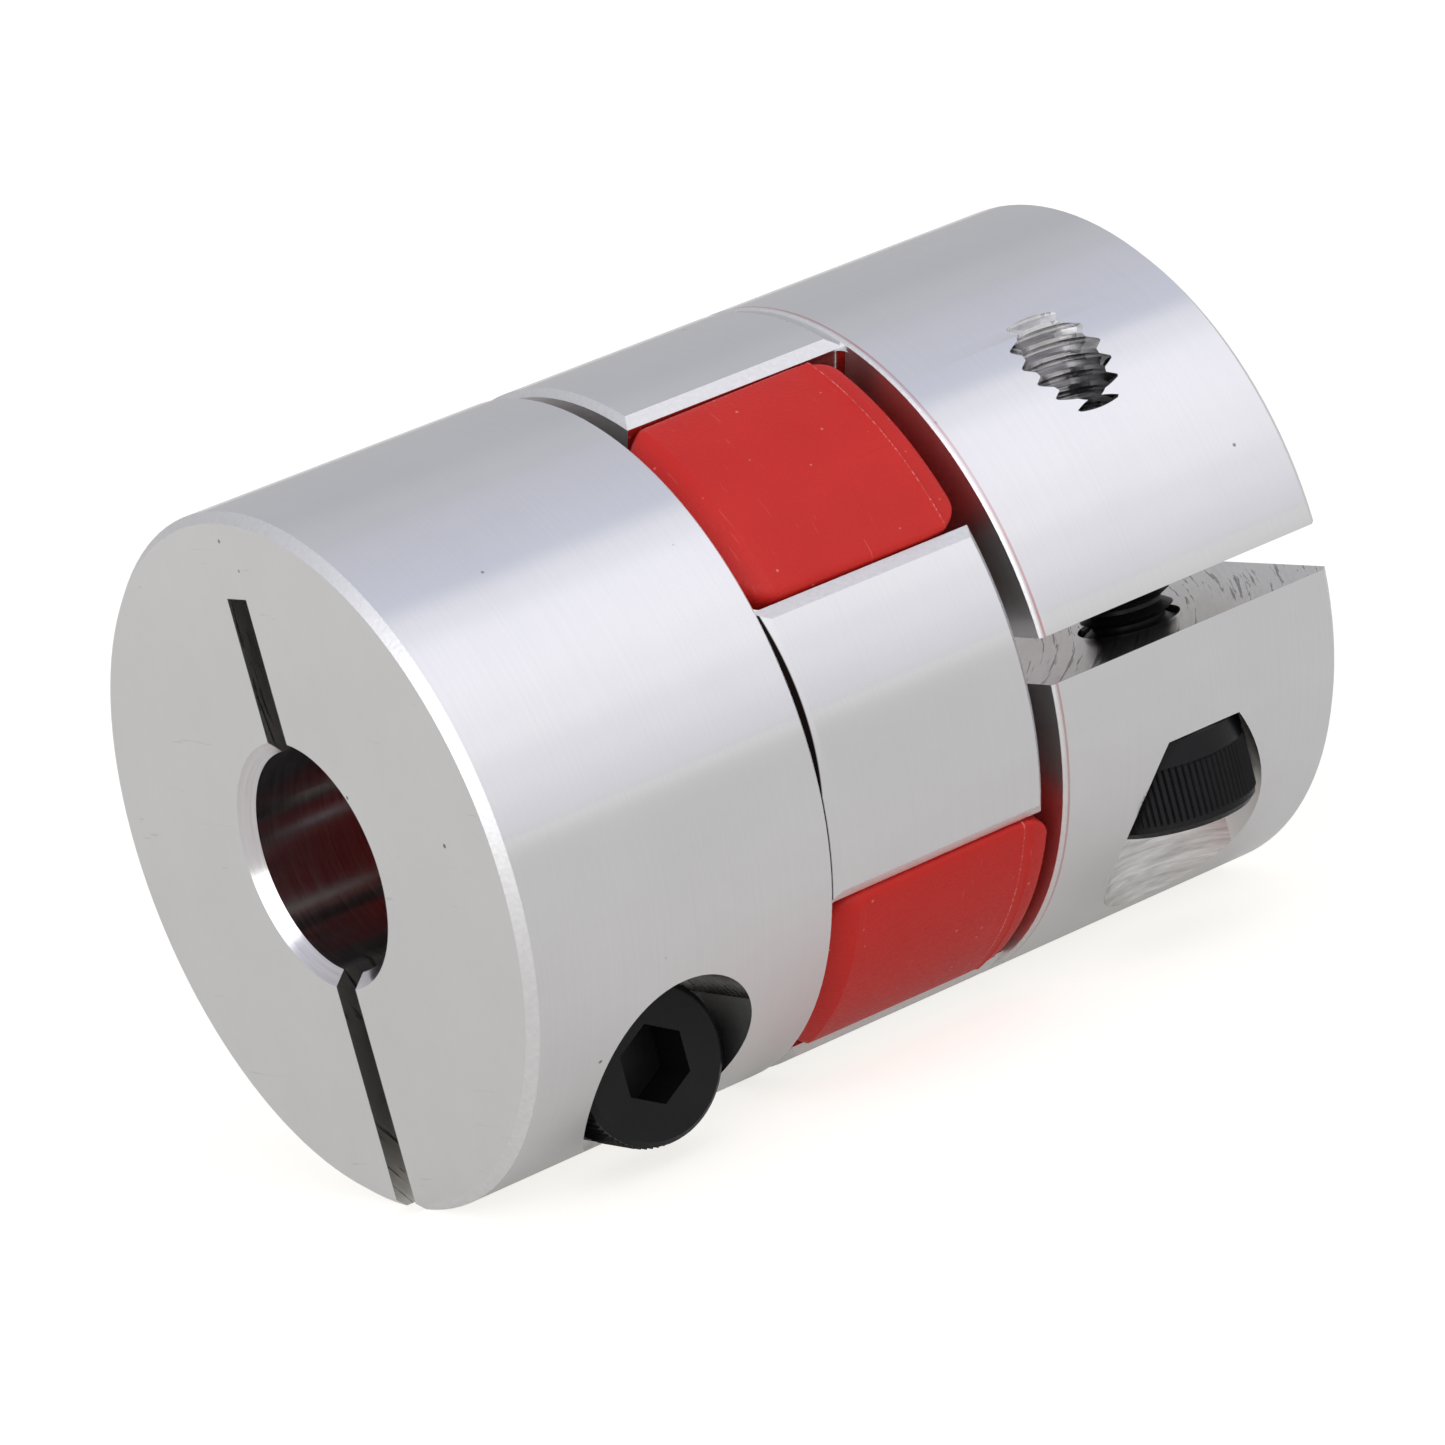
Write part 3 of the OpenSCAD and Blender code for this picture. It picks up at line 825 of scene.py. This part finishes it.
surface = node(tree, "ShaderNodeBsdfPrincipled", {
    "Base Color": edged.outputs["Result"], "Roughness": dull.outputs["Result"],
    "Normal": skin.outputs["Normal"], "IOR": 1.5, "Specular IOR Level": 0.33,
})
node(tree, "ShaderNodeOutputMaterial", {"Surface": surface.outputs["BSDF"]})


def rounding(depth, radius):
    """How far a rounded edge draws in at a depth from the end."""
    return radius - math.sqrt(max(0, radius ** 2 - max(0, radius - depth) ** 2))


def lobe_section(x):
    """One slice of a lobe, pointing along +Y: its corners in order, outer ones rounded."""
    from_left, from_right = x - spider_low.x, spider_high.x - x
    share = from_left / (from_left + from_right)
    bevel = left_bevel * max(0, 1 - from_left / left_round)
    ridge = flash_height * math.exp(-((x - mould_line) / flash_half_width) ** 2)
    step = parting_step if x > mould_line + 0.02 * MM else 0
    outer = (lobe_radius - lobe_ease - step + ridge
             - max(bevel, rounding(from_left, left_round), rounding(from_right, right_round)))
    tuck = rounding(min(from_left, from_right), corner_round)
    edge_round = (0.6 - 0.35 * share) * MM
    corner = Vector((math.cos(lobe_half), math.sin(lobe_half)))
    away = Vector((-corner.y, corner.x))
    foot = Vector((lobe_apex, 0)) - away * tuck
    along = -foot.dot(corner) + math.sqrt(max(0, foot.dot(corner) ** 2
                                              - foot.length_squared + outer ** 2))
    # out along the side, round the corner, then over the top to the middle
    side = along - lobe_inside - edge_round
    points = [foot + corner * (lobe_inside + side * i / 5) for i in range(6)]
    tip = foot + corner * along
    tip_angle = math.atan2(tip.y, tip.x)
    start, end_angle = points[-1], tip_angle - edge_round / outer
    end = Vector((math.cos(end_angle), math.sin(end_angle))) * outer
    for i in range(1, 6):
        t = i / 6
        points.append(start * (1 - t) ** 2 + tip * 2 * t * (1 - t) + end * t ** 2)
    for i in range(13):
        a = end_angle * (1 - i / 12)
        points.append(Vector((math.cos(a), math.sin(a))) * outer)
    return points + [Vector((p.x, -p.y)) for p in reversed(points[:-1])]


lobe_shape = bmesh.new()
near_end = [0, 0.03, 0.08, 0.16, 0.28, 0.42, 0.6, 0.8, 1.0, 1.12, 1.2, 1.28, 1.42, 1.6]
stations = sorted(
    [spider_low.x + d * MM for d in near_end]
    + [spider_high.x - d * MM for d in near_end if d < 0.9]
    + [mould_line + d * MM for d in (-0.1, -0.05, -0.02, 0, 0.021, 0.05, 0.1)]
    + [spider_low.x + 1.6 * MM + (mould_line - 0.1 * MM - spider_low.x - 1.6 * MM) * i / 9
       for i in range(1, 9)])
slices = []
for x in stations:
    slices.append([lobe_shape.verts.new((x, p.x, p.y)) for p in lobe_section(x)])
for one, other in zip(slices, slices[1:]):
    for i in range(len(one)):
        j = (i + 1) % len(one)
        lobe_shape.faces.new((one[i], one[j], other[j], other[i]))
lobe_shape.faces.new(slices[0])
lobe_shape.faces.new(slices[-1])
bmesh.ops.recalc_face_normals(lobe_shape, faces=lobe_shape.faces)
lobe_mesh = bpy.data.meshes.new("lobe")
lobe_shape.to_mesh(lobe_mesh)
lobe_shape.free()
lobe = placed("lobe", lobe_mesh)

star_tree = bpy.data.node_groups.new("four_lobes", "GeometryNodeTree")
star_tree.interface.new_socket("Geometry", in_out="INPUT", socket_type="NodeSocketGeometry")
star_sizes = {
    "Lobes": ("NodeSocketInt", 4),
    "First Angle": ("NodeSocketFloat", math.radians(45)),
    "Ring Outer Radius": ("NodeSocketFloat", ring_outer),
    "Ring Inner Radius": ("NodeSocketFloat", ring_inner),
    "Ring Length": ("NodeSocketFloat", spider_high.x - spider_low.x - 2 * ring_inset),
    "Middle": ("NodeSocketFloat", (spider_low.x + spider_high.x) / 2),
    "Finish": ("NodeSocketMaterial", moulded_polyurethane),
}
for label, (kind, value) in star_sizes.items():
    star_tree.interface.new_socket(label, in_out="INPUT", socket_type=kind)
star_tree.interface.new_socket("Geometry", in_out="OUTPUT", socket_type="NodeSocketGeometry")
entry = node(star_tree, "NodeGroupInput")
size = entry.outputs
whole = node(star_tree, "GeometryNodeGeometryToInstance")
star_tree.links.new(size["Geometry"], whole.inputs[0])
copies = node(star_tree, "GeometryNodeDuplicateElements", {
    "Geometry": whole.outputs[0], "Amount": size["Lobes"],
}, domain="INSTANCE")
step = node(star_tree, "ShaderNodeMath", {0: 2 * math.pi, 1: size["Lobes"]}, operation="DIVIDE")
angle = node(star_tree, "ShaderNodeMath", {
    0: copies.outputs["Duplicate Index"], 1: step.outputs[0], 2: size["First Angle"],
}, operation="MULTIPLY_ADD")
spin = node(star_tree, "ShaderNodeCombineXYZ", {"X": angle.outputs[0]})
turned = node(star_tree, "GeometryNodeRotateInstances", {
    "Instances": copies.outputs["Geometry"], "Rotation": spin.outputs[0],
})
wall = node(star_tree, "ShaderNodeMath", {
    0: size["Ring Outer Radius"], 1: size["Ring Inner Radius"]}, operation="SUBTRACT")
core = node(star_tree, "ShaderNodeMath", {
    0: size["Ring Outer Radius"], 1: size["Ring Inner Radius"]}, operation="ADD")
core_radius = node(star_tree, "ShaderNodeMath", {0: core.outputs[0], 1: 0.5},
                   operation="MULTIPLY")
hoop = node(star_tree, "GeometryNodeCurvePrimitiveCircle", {
    "Resolution": 120, "Radius": core_radius.outputs[0],
})
outline = node(star_tree, "GeometryNodeCurvePrimitiveQuadrilateral", {
    "Width": wall.outputs[0], "Height": size["Ring Length"],
})
eased = node(star_tree, "GeometryNodeFilletCurve", {
    "Curve": outline.outputs["Curve"], "Radius": 0.25 * MM, "Count": 4,
}, mode="POLY")
ring = node(star_tree, "GeometryNodeCurveToMesh", {
    "Curve": hoop.outputs["Curve"], "Profile Curve": eased.outputs["Curve"],
})
ring_place = node(star_tree, "ShaderNodeCombineXYZ", {"X": size["Middle"]})
ring_moved = node(star_tree, "GeometryNodeTransform", {
    "Geometry": ring.outputs["Mesh"], "Translation": ring_place.outputs[0],
    "Rotation": (0, math.radians(90), 0),
})
joined = node(star_tree, "GeometryNodeJoinGeometry")
star_tree.links.new(turned.outputs[0], joined.inputs[0])
star_tree.links.new(ring_moved.outputs[0], joined.inputs[0])
real = node(star_tree, "GeometryNodeRealizeInstances", {"Geometry": joined.outputs[0]})
painted = node(star_tree, "GeometryNodeSetMaterial", {
    "Geometry": real.outputs[0], "Material": size["Finish"],
})
node(star_tree, "NodeGroupOutput", {"Geometry": painted.outputs[0]})
modifier = lobe.modifiers.new("four_lobes", "NODES")
modifier.node_group = star_tree
for item in star_tree.interface.items_tree:
    if item.in_out == "INPUT" and item.name in star_sizes:
        modifier[item.identifier] = star_sizes[item.name][1]
spider_mesh = bpy.data.meshes.new_from_object(
    lobe.evaluated_get(bpy.context.evaluated_depsgraph_get()))
bpy.data.objects.remove(lobe)
spider_mesh.name = "spider_moulded"
# the clamped-up star sits proud at its lower front lobe and reaches nearer to the right flange
for point in spider_mesh.vertices:
    reach = math.hypot(point.co.y, point.co.z)
    turned_by = math.degrees(math.atan2(point.co.z, point.co.y)) % 360
    if reach > ring_outer + 0.1 * MM and front_lobe_from < turned_by < front_lobe_to:
        share = (point.co.x - spider_low.x) / (spider_high.x - spider_low.x)
        swell = 1 + front_lobe_swell / lobe_radius
        shifted = point.co.x + front_lobe_shift * share
        point.co = Vector((shifted, point.co.y * swell, point.co.z * swell))
spider_mesh.shade_smooth()
spider_mesh.set_sharp_from_angle(angle=math.radians(28))
spider = placed("spider_moulded", spider_mesh)
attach(spider, "spider")
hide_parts("spider")

# ---- Right hub -------------------------------------------------------------------------------
# The same turned aluminium hub, turned end for end and a quarter round, so that its jaws fall
# between the first hub's; here the slot opens to the front and the tapped hole comes out on top.

right_hub = hub_piece("right_hub_machined", "right_hub", screw_turns["right_screw_turn"])
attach(right_hub, "right_hub")
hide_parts("right_hub")

# ---- Right clamp screw -----------------------------------------------------------------------
# A second blackened cap screw, driven up from below across the right hub's slot.

right_screw = clamp_screw("right_cap_screw", screw_turns["right_screw_turn"])
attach(right_screw, "right_screw")
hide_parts("right_clamp_screw")
